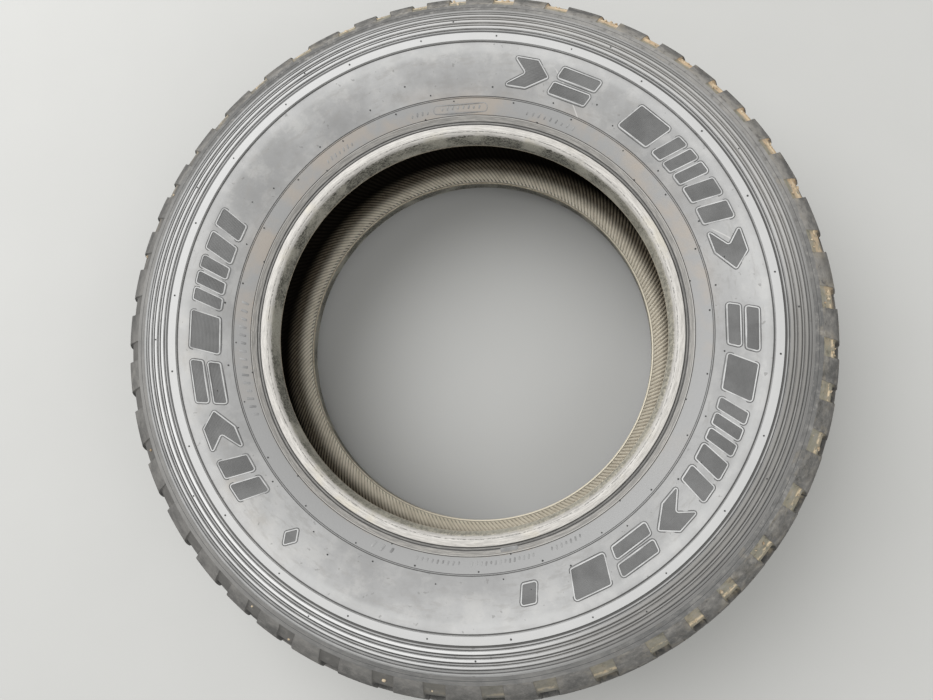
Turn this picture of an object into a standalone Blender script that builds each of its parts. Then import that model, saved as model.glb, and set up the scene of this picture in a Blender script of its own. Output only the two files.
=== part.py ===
"""All-terrain radial tyre, size 245/75R17, built up ring by ring the way a tyre is made.

The tyre lies flat: +Z is its spin axis, the origin is its centre and the outboard
sidewall faces up. Every ring is turned from a cross-section given as (radius, height)
in millimetres. The rings inside the casing are laid out in layers over the cavity
surface, so that they nest with a thin clearance.
"""
import math

import bmesh
import bpy

# ---------------------------------------------------------------- driving dimensions (mm)
MM = 0.001
INCH = 25.4
NOMINAL_WIDTH = 245.0
ASPECT_RATIO = 0.75
RIM_DIAMETER = 17 * INCH
RIM_WIDTH = 7 * INCH
OUTER_RADIUS = RIM_DIAMETER / 2 + NOMINAL_WIDTH * ASPECT_RATIO
HALF_SECTION = 124.0            # half of the section width, over the raised band
RING_STEPS = 36                 # flat faces around every ring
CLEARANCE = 0.3                 # between neighbouring pieces

# Cavity surface of the outboard half, from the middle of the crown to the bead toe.
# Its corners are the stations 0, 1, 2 ... that all the layers are measured from.
TOE = (214.6, 61.0)
CAVITY = ((378.0, 0.0), (369.5, 58.0), (350.0, 97.0), (320.0, 114.5), (268.0, 97.8), (234.0, 71.5), TOE)

# Layers over the cavity surface, as (inner depth, outer depth).
LINER = (0.0, 1.5)
FIRST_PLY = (1.8, 3.0)
SECOND_PLY = (3.3, 4.5)
FIRST_BELT = (4.8, 6.2)
SECOND_BELT = (6.5, 7.9)
CAP_PLY = (8.2, 9.2)
TREAD_BASE = (9.5, 11.0)
TREAD_CAP_DEPTH = 11.3
UNDERTREAD = (4.8, 6.3)         # the tread base where it runs down over the shoulder

# Stations where layers end or turn. Between two corners a station is the share of the way.
SHOULDER = 2
UPPER_SIDEWALL = 3
LOWER_SIDEWALL_STATION = 4
BEAD = 5
LINER_END = 5.7
FIRST_BELT_EDGE = 1.42
SECOND_BELT_EDGE = 1.34
CAP_PLY_EDGE = 1.45
SHOULDER_DROP = 1.82
WING_START = 1.86
TREAD_BASE_EDGE = 1.97
WING_END = 2.08
SIDEWALL_START = 2.16
TURN_UP_END = 3.85
PLY_BEND = 3.8
FILLER_TIP = 4.12
WEDGE = (1.46, 1.74)
WEDGE_TOP_DEPTH = 8.4

# Tread surface.
CROWN_RADIUS = 200.0
SHOULDER_EDGE = 87.0            # height of the edge between the crown and the lug faces
EDGE_BLUNT = 2.5                # how far that edge is worn off, along each side
LUG_FOOT = (357.5, 108.0)
TREAD_DEPTH = 8.0

# Bead.
BEAD_FACE = RIM_WIDTH / 2
SEAT_TAPER = math.radians(5)
HEEL_RADIUS = 7.0
FACE_GROOVE = (3.8, 1.1)        # from the end of the flange face to the slope behind it
CORE_RADIUS = (221.4, 230.2)
CORE_HEIGHT = (69.2, 73.4, 81.7)
HOOK_RADIUS = 219.6
PLY_THICKNESS = FIRST_PLY[1] - FIRST_PLY[0]
TURN_UP_RISE = PLY_THICKNESS + CLEARANCE
PLY_END_HEIGHT = (83.8, 85.0)
PLY_END_RADII = (CORE_RADIUS[0] + 1.6, CORE_RADIUS[1] + 0.8)
HOOK_HEIGHT = (65.8, 67.7)      # where the folded ply leaves the cavity, outer and inner line
CORE_GAP = 0.6                  # between the bead core and the folded ply
FILLER_GAP = 0.4                # between the bead core and the filler

# Sidewall surface.
FACE_END = 229.0
RIM_LINE = (237.0, 94.0)
CUSHION_EDGE = (254.0, 102.0)
LOWER_SIDEWALL = (280.0, 113.0)
BAND_FOOT = (307.5, 121.3)
BAND_RADII = (308.5, 317.0)
RIB_SHELF = ((318.5, 121.6), (341.0, 117.2))
BUTTRESS = (349.0, 112.2)
WING_GAP = (0.3, 0.2)           # between the wing and its neighbours, in radius and in height
SIDE_JOINT = (0.55, 0.56)       # where the cushion and the sidewall meet under the joint line
JOINT_RISE = 0.13               # the surface's rise over the gap between them
LINER_GAP = 0.02                # in stations, between the liner and the cushion

# Tread pattern: three block lengths in a mixed order, so that the blocks don't hum.
PITCH_SEQUENCE = "LLMSSSSMLLMSSSLLLMSSSMMMLMLMSSMLMLMLLSSMLLMSM"
PITCH_RATIO = {"L": 9.4, "M": 8.1, "S": 6.6}
FIRST_NOTCH = 3.7               # degrees, from +X
NOTCH_SHARE = 0.40              # of a pitch, at the tread edge
GROOVE_INNER = 49.0
GROOVE_OUTER = 57.5
GROOVE_DRAFT = 0.9
SLOT_WIDTH = 6.5
SLOT_LENGTH = 46.0
SLOT_HEIGHT = 31.0
SLOT_SLANT = math.radians(32)
SLOT_RELIEF = 1.0               # slots and notches are this much shallower than the grooves
NOTCH_FOOT_DROP = (0.6, 1.6)    # from the lug foot to the inner end of a notch
NOTCH_LIP = (371.3, 91.4)       # where the notch floor turns down under the shoulder
NOTCH_BEND = (376.5, 80.0)
NOTCH_TAPER = (0.90, 1.06)      # notch width at its floor and above the tread, as a share
CUTTER_MARGIN = 4.0

# ---------------------------------------------------------------- scene
for old in list(bpy.data.objects):
    bpy.data.objects.remove(old, do_unlink=True)
tyre_parts = bpy.data.collections.new("all_terrain_tyre")
cutters = bpy.data.collections.new("cutters")
bpy.context.scene.collection.children.link(tyre_parts)
bpy.context.scene.collection.children.link(cutters)


def material(name, colour, roughness, metallic=0.0):
    """A Principled material of one colour."""
    made = bpy.data.materials.new(name)
    made.use_nodes = True
    shader = made.node_tree.nodes["Principled BSDF"]
    shader.inputs["Base Color"].default_value = (*colour, 1.0)
    shader.inputs["Roughness"].default_value = roughness
    shader.inputs["Metallic"].default_value = metallic
    return made


# ---------------------------------------------------------------- layout over the cavity
def unit(vector):
    length = math.hypot(*vector)
    return (vector[0] / length, vector[1] / length)


def edge_normals(path):
    """The direction away from the cavity, for each edge of a path that runs crown to toe."""
    normals = []
    for start, end in zip(path, path[1:]):
        along = unit((end[0] - start[0], end[1] - start[1]))
        normals.append((along[1], -along[0]))
    return normals


def offset(path, depth):
    """The path moved outwards by depth, with mitred corners."""
    normals = edge_normals(path)
    moved = []
    for index, point in enumerate(path):
        before = normals[max(index - 1, 0)]
        after = normals[min(index, len(normals) - 1)]
        if index == 0:
            before = (after[0], -after[1])
        middle = unit((before[0] + after[0], before[1] + after[1]))
        reach = depth / (middle[0] * after[0] + middle[1] * after[1])
        moved.append((point[0] + middle[0] * reach, point[1] + middle[1] * reach))
    return moved


def at(station, depth):
    """The point over the cavity surface at a station, which may lie between two corners."""
    path = offset(CAVITY, depth)
    index = min(int(station), len(path) - 2)
    share = station - index
    start, end = path[index], path[index + 1]
    return (start[0] + (end[0] - start[0]) * share, start[1] + (end[1] - start[1]) * share)


def beside(start, end, share, gap):
    """The point a share of the way along a line, moved to its left by the gap."""
    along = unit((end[0] - start[0], end[1] - start[1]))
    return (start[0] + (end[0] - start[0]) * share - along[1] * gap,
            start[1] + (end[1] - start[1]) * share + along[0] * gap)


def flipped(points):
    """The same points on the inboard half."""
    return [(radius, -height) for radius, height in points]


def both_halves(outer_line, inner_line):
    """One section over both halves, from an outer and an inner line that start at the crown."""
    outer = list(reversed(outer_line)) + flipped(outer_line[1:])
    inner = list(reversed(inner_line)) + flipped(inner_line[1:])
    return outer + list(reversed(inner))


def layer(stations, depths):
    """A layer of even thickness over both halves, from the crown out to the last station."""
    inner = [at(station, depths[0]) for station in stations]
    outer = [at(station, depths[1]) for station in stations]
    return both_halves(outer, inner)


# ---------------------------------------------------------------- turned rings
def clockwise(section):
    """The section ordered so that it runs down its outer side, which makes the ring face out."""
    area = 0.0
    for (r0, z0), (r1, z1) in zip(section, section[1:] + section[:1]):
        area += r0 * z1 - r1 * z0
    return list(reversed(section)) if area > 0 else list(section)


def ring(name, section, look):
    """A solid ring turned from a closed section."""
    points = clockwise(section)
    count = len(points)
    mesh = bpy.data.meshes.new(name)
    corners = [(radius * MM, 0.0, height * MM) for radius, height in points]
    mesh.from_pydata(corners, [(i, (i + 1) % count) for i in range(count)], [])
    piece = bpy.data.objects.new(name, mesh)
    tyre_parts.objects.link(piece)
    turn = piece.modifiers.new("turn", "SCREW")
    turn.axis = "Z"
    turn.angle = math.tau
    turn.steps = RING_STEPS
    turn.render_steps = RING_STEPS
    turn.use_merge_vertices = True
    turn.merge_threshold = 0.00001
    turn.use_smooth_shade = True
    mesh.materials.append(look)
    return piece


def ring_pair(name, section, look):
    """The same ring for the outboard and the inboard side."""
    ring(name + "_outboard", section, look)
    ring(name + "_inboard", flipped(section), look)


# ---------------------------------------------------------------- sections
def crown_point(height):
    """The tread surface on the crown arc."""
    return (OUTER_RADIUS - CROWN_RADIUS + math.sqrt(CROWN_RADIUS ** 2 - height ** 2), height)


def shoulder_edge():
    """The two corners of the blunted edge between the crown and the lug face."""
    edge = crown_point(SHOULDER_EDGE)
    down = unit((LUG_FOOT[0] - edge[0], LUG_FOOT[1] - edge[1]))
    on_face = (edge[0] + down[0] * EDGE_BLUNT, edge[1] + down[1] * EDGE_BLUNT)
    return crown_point(SHOULDER_EDGE - EDGE_BLUNT), on_face


def groove_floor(height):
    """The floor of the straight grooves, a tread depth below the crown."""
    return (crown_point(height)[0] - TREAD_DEPTH, height)


def tread_cap_section():
    """The tread cap, with the two straight grooves that run around it."""
    surface = [
        crown_point(0.0),
        crown_point(GROOVE_INNER / 2),
        crown_point(GROOVE_INNER),
        groove_floor(GROOVE_INNER + GROOVE_DRAFT),
        groove_floor(GROOVE_OUTER - GROOVE_DRAFT),
        crown_point(GROOVE_OUTER),
        crown_point((GROOVE_OUTER + SHOULDER_EDGE) / 2),
        *shoulder_edge(),
        LUG_FOOT,
    ]
    underside = [
        at(0, TREAD_CAP_DEPTH),
        at(1, TREAD_CAP_DEPTH),
        at(CAP_PLY_EDGE, TREAD_CAP_DEPTH),
        at(SHOULDER_DROP, UNDERTREAD[1] + CLEARANCE),
    ]
    return both_halves(surface, underside)


def tread_base_section():
    """The thin rubber under the tread cap, which runs down to the casing past the belts."""
    edge = at(TREAD_BASE_EDGE, UNDERTREAD[0])
    outer = [at(station, TREAD_BASE[1]) for station in (0, 1, CAP_PLY_EDGE)]
    outer.append(at(SHOULDER_DROP, UNDERTREAD[1]))
    inner = [at(station, TREAD_BASE[0]) for station in (0, 1, CAP_PLY_EDGE)]
    inner.append(at(SHOULDER_DROP, UNDERTREAD[0]))
    return both_halves(outer + [edge], inner)


def belt_wedge_section():
    """The soft strip that fills the corner past the belt edges."""
    foot = FIRST_BELT[0]
    return [at(WEDGE[0], foot), at(WEDGE[0], WEDGE_TOP_DEPTH), at(WEDGE[1], foot)]


def tread_wing_section():
    """The smooth shoulder ring that joins the tread to the sidewall."""
    over_ply = SECOND_PLY[1] + CLEARANCE
    return [
        (LUG_FOOT[0] - WING_GAP[0], LUG_FOOT[1] + WING_GAP[1]),
        (BUTTRESS[0] + WING_GAP[0], BUTTRESS[1] - WING_GAP[1]),
        at(WING_END, over_ply),
        at(SHOULDER, over_ply),
        at(WING_START, UNDERTREAD[1] + CLEARANCE),
    ]


def second_ply_line(depth, end_height):
    """One line of the second ply, which runs outside the turn-up and ends beside the bead core."""
    line = [at(station, depth) for station in range(UPPER_SIDEWALL + 1)]
    line.append(at(PLY_BEND, depth + TURN_UP_RISE))
    line.append(at(LOWER_SIDEWALL_STATION, depth + TURN_UP_RISE))
    line.append((PLY_END_RADII[1], end_height))
    line.append((PLY_END_RADII[0], end_height))
    return line


def first_ply_lines():
    """Outer and inner line of the first ply, which is folded around the bead core.

    The line on the cavity side becomes the outside of the fold."""
    fold_height = CORE_HEIGHT[2] + CORE_GAP
    cavity_side = [at(station, FIRST_PLY[0]) for station in range(BEAD + 1)]
    cavity_side.append((HOOK_RADIUS, HOOK_HEIGHT[0]))
    cavity_side.append((HOOK_RADIUS, fold_height + PLY_THICKNESS))
    cavity_side.append((CORE_RADIUS[1] + CORE_GAP, fold_height + PLY_THICKNESS))
    cavity_side.append(at(LOWER_SIDEWALL_STATION, SECOND_PLY[1]))
    cavity_side.append(at(TURN_UP_END, SECOND_PLY[1]))
    core_side = [at(station, FIRST_PLY[1]) for station in range(BEAD + 1)]
    core_side.append((HOOK_RADIUS + PLY_THICKNESS, HOOK_HEIGHT[1]))
    core_side.append((HOOK_RADIUS + PLY_THICKNESS, fold_height))
    core_side.append((PLY_END_RADII[1], fold_height))
    core_side.append(at(LOWER_SIDEWALL_STATION, SECOND_PLY[0]))
    core_side.append(at(TURN_UP_END, SECOND_PLY[0]))
    return core_side, cavity_side


def bead_core_section():
    """The bundle of steel wire that holds the bead on the rim."""
    return [
        (CORE_RADIUS[0], CORE_HEIGHT[0]),
        (CORE_RADIUS[1], CORE_HEIGHT[1]),
        (CORE_RADIUS[1], CORE_HEIGHT[2]),
        (CORE_RADIUS[0], CORE_HEIGHT[2]),
    ]


def bead_filler_section():
    """The hard rubber wedge that stands on the bead core."""
    foot = CORE_RADIUS[1] + FILLER_GAP
    return [
        (foot, CORE_HEIGHT[1] + FILLER_GAP),
        at(BEAD, SECOND_PLY[0]),
        at(FILLER_TIP, SECOND_PLY[0]),
        (foot, CORE_HEIGHT[2]),
    ]


def side_joint(share):
    """A point just outside the second ply, near the middle of its lower run."""
    low = (PLY_END_RADII[1], PLY_END_HEIGHT[1])
    high = at(LOWER_SIDEWALL_STATION, SECOND_PLY[1] + TURN_UP_RISE)
    return beside(low, high, share, CLEARANCE)


def rim_cushion_section():
    """The hard rubber strip that touches the rim: toe, seat, heel and flange face."""
    heel_start = BEAD_FACE - HEEL_RADIUS
    seat_radius = TOE[0] + (heel_start - TOE[1]) * math.tan(SEAT_TAPER)
    heel_centre = (seat_radius + HEEL_RADIUS, heel_start)
    heel_middle = (heel_centre[0] - HEEL_RADIUS * math.cos(math.pi / 4),
                   heel_centre[1] + HEEL_RADIUS * math.sin(math.pi / 4))
    over_end = PLY_END_HEIGHT[1] + CLEARANCE
    over_fold = CORE_HEIGHT[2] + CORE_GAP + PLY_THICKNESS + CLEARANCE
    liner_edge = LINER_END + LINER_GAP
    return [
        at(liner_edge, 0.0),
        TOE,
        (seat_radius, heel_start),
        heel_middle,
        (heel_centre[0], BEAD_FACE),
        (FACE_END, BEAD_FACE),
        (FACE_END + FACE_GROOVE[0], BEAD_FACE + FACE_GROOVE[1]),
        RIM_LINE,
        CUSHION_EDGE,
        side_joint(SIDE_JOINT[0]),
        (PLY_END_RADII[1], over_end),
        (PLY_END_RADII[0] - CLEARANCE, over_end),
        (HOOK_RADIUS - CLEARANCE, over_fold),
        at(liner_edge, FIRST_PLY[0] - CLEARANCE),
    ]


def sidewall_section():
    """The sidewall rubber, with its raised band and the shelf that carries the fine ribs."""
    over_ply = SECOND_PLY[1] + CLEARANCE
    over_turn_up = over_ply + TURN_UP_RISE
    return [
        (CUSHION_EDGE[0] + CLEARANCE, CUSHION_EDGE[1] + JOINT_RISE),
        LOWER_SIDEWALL,
        BAND_FOOT,
        (BAND_RADII[0], HALF_SECTION),
        (BAND_RADII[1], HALF_SECTION),
        RIB_SHELF[0],
        RIB_SHELF[1],
        BUTTRESS,
        at(SIDEWALL_START, over_ply),
        at(UPPER_SIDEWALL, over_ply),
        at(PLY_BEND, over_turn_up),
        at(LOWER_SIDEWALL_STATION, over_turn_up),
        side_joint(SIDE_JOINT[1]),
    ]


# ---------------------------------------------------------------- tread pattern
def notch_angles():
    """Centre of every shoulder notch and the length of its pitch, in degrees."""
    total = sum(PITCH_RATIO[letter] for letter in PITCH_SEQUENCE)
    lengths = [PITCH_RATIO[letter] * 360.0 / total for letter in PITCH_SEQUENCE]
    angle = FIRST_NOTCH
    notches = []
    for length in lengths:
        notches.append((angle, length))
        angle += length
    return notches


def add_prism(mesh, outline, width_low, width_high):
    """A solid with an outline in the radial plane at +X, wider at its second half of points."""
    half = len(outline) // 2
    widths = [width_low] * half + [width_high] * (len(outline) - half)
    near = [mesh.verts.new((r * MM, -w / 2 * MM, z * MM)) for (r, z), w in zip(outline, widths)]
    face = mesh.faces.new(near)
    pushed = bmesh.ops.extrude_face_region(mesh, geom=[face])
    far = [item for item in pushed["geom"] if isinstance(item, bmesh.types.BMVert)]
    for vert in far:
        vert.co.y = -vert.co.y
    return near + far


def turn(mesh, verts, degrees):
    """Turns some points around the tyre's axis."""
    angle = math.radians(degrees)
    cosine, sine = math.cos(angle), math.sin(angle)
    for vert in verts:
        x, y = vert.co.x, vert.co.y
        vert.co.x = x * cosine - y * sine
        vert.co.y = x * sine + y * cosine


def cutter(name, mesh):
    """A hidden cutter object, facing out."""
    bmesh.ops.recalc_face_normals(mesh, faces=mesh.faces)
    data = bpy.data.meshes.new(name)
    mesh.to_mesh(data)
    mesh.free()
    tool = bpy.data.objects.new(name, data)
    tool.hide_render = True
    tool.display_type = "WIRE"
    cutters.objects.link(tool)
    return tool


def notch_outline(side):
    """A shoulder notch from the lug foot, over the shoulder and into the straight groove."""
    inner_height = GROOVE_OUTER - 2 * GROOVE_DRAFT
    above = OUTER_RADIUS + CUTTER_MARGIN
    beyond = LUG_FOOT[1] + CUTTER_MARGIN
    outline = [
        (LUG_FOOT[0] + NOTCH_FOOT_DROP[0], LUG_FOOT[1] - NOTCH_FOOT_DROP[1]),
        NOTCH_LIP,
        NOTCH_BEND,
        (groove_floor(inner_height)[0] + SLOT_RELIEF, inner_height),
        (above, inner_height),
        (above, beyond),
        (LUG_FOOT[0] + CUTTER_MARGIN, beyond),
    ]
    return [(radius, side * height) for radius, height in outline]


def notch_cutter(name, side):
    """All the shoulder notches of one side."""
    mesh = bmesh.new()
    for angle, length in notch_angles():
        width = math.radians(length) * LUG_FOOT[0] * NOTCH_SHARE
        verts = add_prism(mesh, notch_outline(side), width * NOTCH_TAPER[0], width * NOTCH_TAPER[1])
        turn(mesh, verts, angle if side > 0 else angle + length / 2)
    return cutter(name, mesh)


def slot_cutter(name, side):
    """The slanted slots of one side of the middle rib, at every second pitch."""
    mesh = bmesh.new()
    floor = groove_floor(SLOT_HEIGHT)[0] + SLOT_RELIEF
    thickness = OUTER_RADIUS + CUTTER_MARGIN - floor
    tilt = math.tan(math.asin(SLOT_HEIGHT / CROWN_RADIUS))
    for angle, length in notch_angles()[0 if side > 0 else 1::2]:
        made = bmesh.ops.create_cube(mesh, size=1.0)["verts"]
        for vert in made:
            radial = floor + (vert.co.x + 0.5) * thickness
            along = vert.co.z * SLOT_LENGTH
            across = vert.co.y * SLOT_WIDTH
            height = SLOT_HEIGHT + along * math.cos(SLOT_SLANT) - across * math.sin(SLOT_SLANT)
            sweep = along * math.sin(SLOT_SLANT) + across * math.cos(SLOT_SLANT)
            vert.co.x = (radial - (height - SLOT_HEIGHT) * tilt) * MM
            vert.co.y = sweep * side * MM
            vert.co.z = height * side * MM
        turn(mesh, made, angle + (length / 2 if side > 0 else 0.0))
    return cutter(name, mesh)


def cut(piece, tool):
    """Cuts a piece with a cutter object."""
    step = piece.modifiers.new(tool.name, "BOOLEAN")
    step.operation = "DIFFERENCE"
    step.solver = "EXACT"
    step.object = tool


# ---------------------------------------------------------------- the tyre
def build_casing():
    """The airtight liner, the two body plies and the beads."""
    liner_rubber = material("liner_rubber", (0.055, 0.048, 0.042), 0.7)
    ply_cord = material("rubberised_polyester_cord", (0.09, 0.08, 0.07), 0.75)
    bead_wire = material("bronzed_bead_wire", (0.42, 0.33, 0.22), 0.4, 0.9)
    filler_rubber = material("bead_filler_rubber", (0.03, 0.03, 0.03), 0.6)
    ring("inner_liner", layer((0, 1, 2, 3, 4, 5, LINER_END), LINER), liner_rubber)
    ring("body_ply_first", both_halves(*first_ply_lines()), ply_cord)
    outer_line = second_ply_line(SECOND_PLY[1], PLY_END_HEIGHT[1])
    inner_line = second_ply_line(SECOND_PLY[0], PLY_END_HEIGHT[0])
    ring("body_ply_second", both_halves(outer_line, inner_line), ply_cord)
    ring_pair("bead_core", bead_core_section(), bead_wire)
    ring_pair("bead_filler", bead_filler_section(), filler_rubber)


def build_belt_package():
    """Two steel belts, the cap ply over them and the soft strips at their edges."""
    steel_cord = material("rubberised_steel_cord", (0.16, 0.14, 0.12), 0.5, 0.4)
    nylon_cord = material("rubberised_nylon_cord", (0.11, 0.10, 0.09), 0.7)
    wedge_rubber = material("belt_wedge_rubber", (0.025, 0.025, 0.025), 0.65)
    ring("steel_belt_first", layer((0, 1, FIRST_BELT_EDGE), FIRST_BELT), steel_cord)
    ring("steel_belt_second", layer((0, 1, SECOND_BELT_EDGE), SECOND_BELT), steel_cord)
    ring("cap_ply", layer((0, 1, CAP_PLY_EDGE), CAP_PLY), nylon_cord)
    ring_pair("belt_wedge", belt_wedge_section(), wedge_rubber)


def build_outer_rubber():
    """Rim cushions, sidewalls, shoulder wings, tread base and the patterned tread cap."""
    cushion_rubber = material("rim_cushion_rubber", (0.16, 0.155, 0.15), 0.55)
    sidewall_rubber = material("sidewall_rubber", (0.11, 0.112, 0.115), 0.6)
    wing_rubber = material("shoulder_wing_rubber", (0.08, 0.082, 0.085), 0.65)
    base_rubber = material("tread_base_rubber", (0.022, 0.022, 0.022), 0.7)
    tread_rubber = material("tread_rubber", (0.045, 0.045, 0.047), 0.75)
    ring_pair("rim_cushion", rim_cushion_section(), cushion_rubber)
    ring_pair("sidewall", sidewall_section(), sidewall_rubber)
    ring_pair("tread_wing", tread_wing_section(), wing_rubber)
    ring("tread_base", tread_base_section(), base_rubber)
    tread = ring("tread_cap", tread_cap_section(), tread_rubber)
    for side, name in ((1, "outboard"), (-1, "inboard")):
        cut(tread, notch_cutter("notches_" + name, side))
        cut(tread, slot_cutter("slots_" + name, side))


build_casing()
build_belt_package()
build_outer_rubber()
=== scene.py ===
import random
from math import atan2, ceil, copysign, cos, dist, hypot, radians, sin, sqrt, tan, tau

import bmesh
import bpy
import numpy as np
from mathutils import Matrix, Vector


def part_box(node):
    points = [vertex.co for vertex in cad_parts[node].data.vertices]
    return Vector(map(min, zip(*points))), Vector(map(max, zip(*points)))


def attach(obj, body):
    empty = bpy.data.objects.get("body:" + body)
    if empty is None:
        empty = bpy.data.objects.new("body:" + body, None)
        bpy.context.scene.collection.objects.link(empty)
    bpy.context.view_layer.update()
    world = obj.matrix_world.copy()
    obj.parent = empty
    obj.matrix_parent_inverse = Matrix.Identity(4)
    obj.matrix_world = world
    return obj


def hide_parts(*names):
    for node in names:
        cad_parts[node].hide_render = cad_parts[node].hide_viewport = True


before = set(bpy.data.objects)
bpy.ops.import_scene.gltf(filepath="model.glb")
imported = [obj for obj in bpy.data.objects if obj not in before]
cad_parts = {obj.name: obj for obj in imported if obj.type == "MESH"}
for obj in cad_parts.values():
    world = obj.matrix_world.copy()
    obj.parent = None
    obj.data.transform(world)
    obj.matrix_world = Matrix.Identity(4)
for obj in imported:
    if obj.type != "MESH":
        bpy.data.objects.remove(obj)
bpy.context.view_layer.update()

# ---- sizes, in metres
MM = 0.001
TREAD_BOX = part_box("tread_cap")
SIDE_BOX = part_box("sidewall_outboard")
CUSHION_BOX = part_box("rim_cushion_outboard")
WING_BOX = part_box("tread_wing_outboard")


def radius_range(node):
    """Smallest and largest distance of a CAD node's corners from the spin axis."""
    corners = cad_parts[node].data.vertices
    radii = [hypot(corner.co.x, corner.co.y) for corner in corners]
    return min(radii), max(radii)


OUTER_RADIUS = TREAD_BOX[1].x
HALF_SECTION = SIDE_BOX[1].z
TOE_RADIUS = radius_range("rim_cushion_outboard")[0]
TOE_HEIGHT = CUSHION_BOX[0].z
CUSHION_EDGE = CUSHION_BOX[1].x
CUSHION_TOP = CUSHION_BOX[1].z
LUG_FOOT = (WING_BOX[1].x + 0.3 * MM, TREAD_BOX[1].z)
WING_START = 349.0 * MM
WING_TOP = WING_BOX[1].z
CAVITY_RADIUS = radius_range("inner_liner")[1] - 1.5 * MM
RIM_WIDTH = 7 * 25.4 * MM
BEAD_FACE = RIM_WIDTH / 2
FACE_END = 228.2 * MM
HEEL_RADIUS = 7 * MM
SEAT_TAPER = radians(5)
RING_STEPS = 720

# Tread surface: one arc over the crown, a blunt shoulder edge and flat lug faces.
CROWN_RADIUS = 200 * MM
SHOULDER_EDGE = 87 * MM
EDGE_ROUNDING = 5 * MM
TREAD_DEPTH = 8 * MM

# Block lengths around the tread, in the CAD's order.
PITCH_SEQUENCE = "LLMSSSSMLLMSSSLLLMSSSMMMLMLMSSMLMLMLLSSMLLMSM"
PITCH_RATIO = {"L": 9.4, "M": 8.1, "S": 6.6}
FIRST_NOTCH = radians(3.7)

SIDES = {1: "outboard", -1: "inboard"}
rng = random.Random(17)


# ---- mesh helpers
def in_mm(*points):
    """Points in metres, from points in millimetres."""
    return [tuple(value * MM for value in point) for point in points]


def swing(radius, turn, height):
    """The place of a radius and height turned about the spin axis."""
    return (radius * cos(turn), radius * sin(turn), height)


def mesh_piece(name, points, faces, materials, sharp, replaces=None, looks=None, wear_and_shade=None):
    """A mesh object that rides on the tyre, perhaps in place of a CAD node.

    sharp is the angle between faces that shows as an edge, looks a material number for each face, and
    wear_and_shade a value for each point: 0 in a recess, where the materials paint shade, 0.5 on plain
    surface, 1 where it stands proud."""
    mesh = bpy.data.meshes.new(name)
    mesh.from_pydata([tuple(p) for p in points], [], [tuple(f) for f in faces])
    for material in materials:
        mesh.materials.append(material)
    if looks is not None:
        mesh.polygons.foreach_set("material_index", looks)
    if wear_and_shade is not None:
        layer = mesh.attributes.new("wear_and_shade", "FLOAT", "POINT")
        layer.data.foreach_set("value", np.asarray(wear_and_shade, np.float32))
    mesh.shade_smooth()
    mesh.set_sharp_from_angle(angle=radians(sharp))
    piece = bpy.data.objects.new(name, mesh)
    bpy.context.scene.collection.objects.link(piece)
    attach(piece, "root")
    if replaces:
        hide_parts(replaces)


def ring_faces(count, steps):
    """Quads of a closed section of count points swept through steps positions."""
    i, j = np.meshgrid(np.arange(steps), np.arange(count), indexing="ij")
    i2, j2 = (i + 1) % steps, (j + 1) % count
    quads = np.stack([i * count + j, i * count + j2, i2 * count + j2, i2 * count + j], -1)
    return quads.reshape(-1, 4)


def revolve(section, steps, warp=None):
    """Points and outward faces of a closed section turned about the spin axis.

    warp(turn, radius, height) returns moved radii and heights, for uneven rubber."""
    section = np.array(section, float)
    r, z = section[:, 0], section[:, 1]
    area = np.sum(r * np.roll(z, -1) - np.roll(r, -1) * z)
    angle = np.arange(steps) * tau / steps
    radius = np.repeat(r[None, :], steps, 0)
    height = np.repeat(z[None, :], steps, 0)
    turn = np.repeat(angle[:, None], len(r), 1)
    if warp:
        radius, height = warp(turn, radius, height)
    points = np.stack([radius * np.cos(turn), radius * np.sin(turn), height], -1)
    faces = ring_faces(len(r), steps)
    if area > 0:
        faces = faces[:, ::-1]
    return points.reshape(-1, 3), faces


def catmull(points, spacing):
    """A smooth curve through the points, sampled about every spacing."""
    pts = [np.array(p, float) for p in points]
    pts = [2 * pts[0] - pts[1]] + pts + [2 * pts[-1] - pts[-2]]
    curve = []
    for a, b, c, d in zip(pts, pts[1:], pts[2:], pts[3:]):
        count = max(1, int(round(np.linalg.norm(c - b) / spacing)))
        for t in np.arange(count) / count:
            curve.append(0.5 * (2 * b + (c - a) * t + (2 * a - 5 * b + 4 * c - d) * t ** 2
                                + (3 * b - a - 3 * c + d) * t ** 3))
    curve.append(pts[-2])
    return [(float(p[0]), float(p[1])) for p in curve]


def lengths(curve):
    """Distance along a curve at each of its points."""
    return np.concatenate([[0], np.cumsum(np.linalg.norm(np.diff(curve, axis=0), axis=1))])


def loop_quads(first, second):
    """Quads between two closed loops with the same number of corners."""
    return list(zip(first, first[1:] + first[:1], second[1:] + second[:1], second))


def arc_points(centre, radius, start, end, count):
    """Points on an arc, from a start to an end angle in degrees, both included."""
    turns = [radians(start + (end - start) * i / (count - 1)) for i in range(count)]
    return [(centre[0] + radius * cos(a), centre[1] + radius * sin(a)) for a in turns]


# ---- material helpers
# Every colour but the liner's is darkened by this factor, and the light is stronger by as much, so
# that the pale dust inside the tyre is brighter than the dusty rubber outside.
TONE = 0.72


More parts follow.
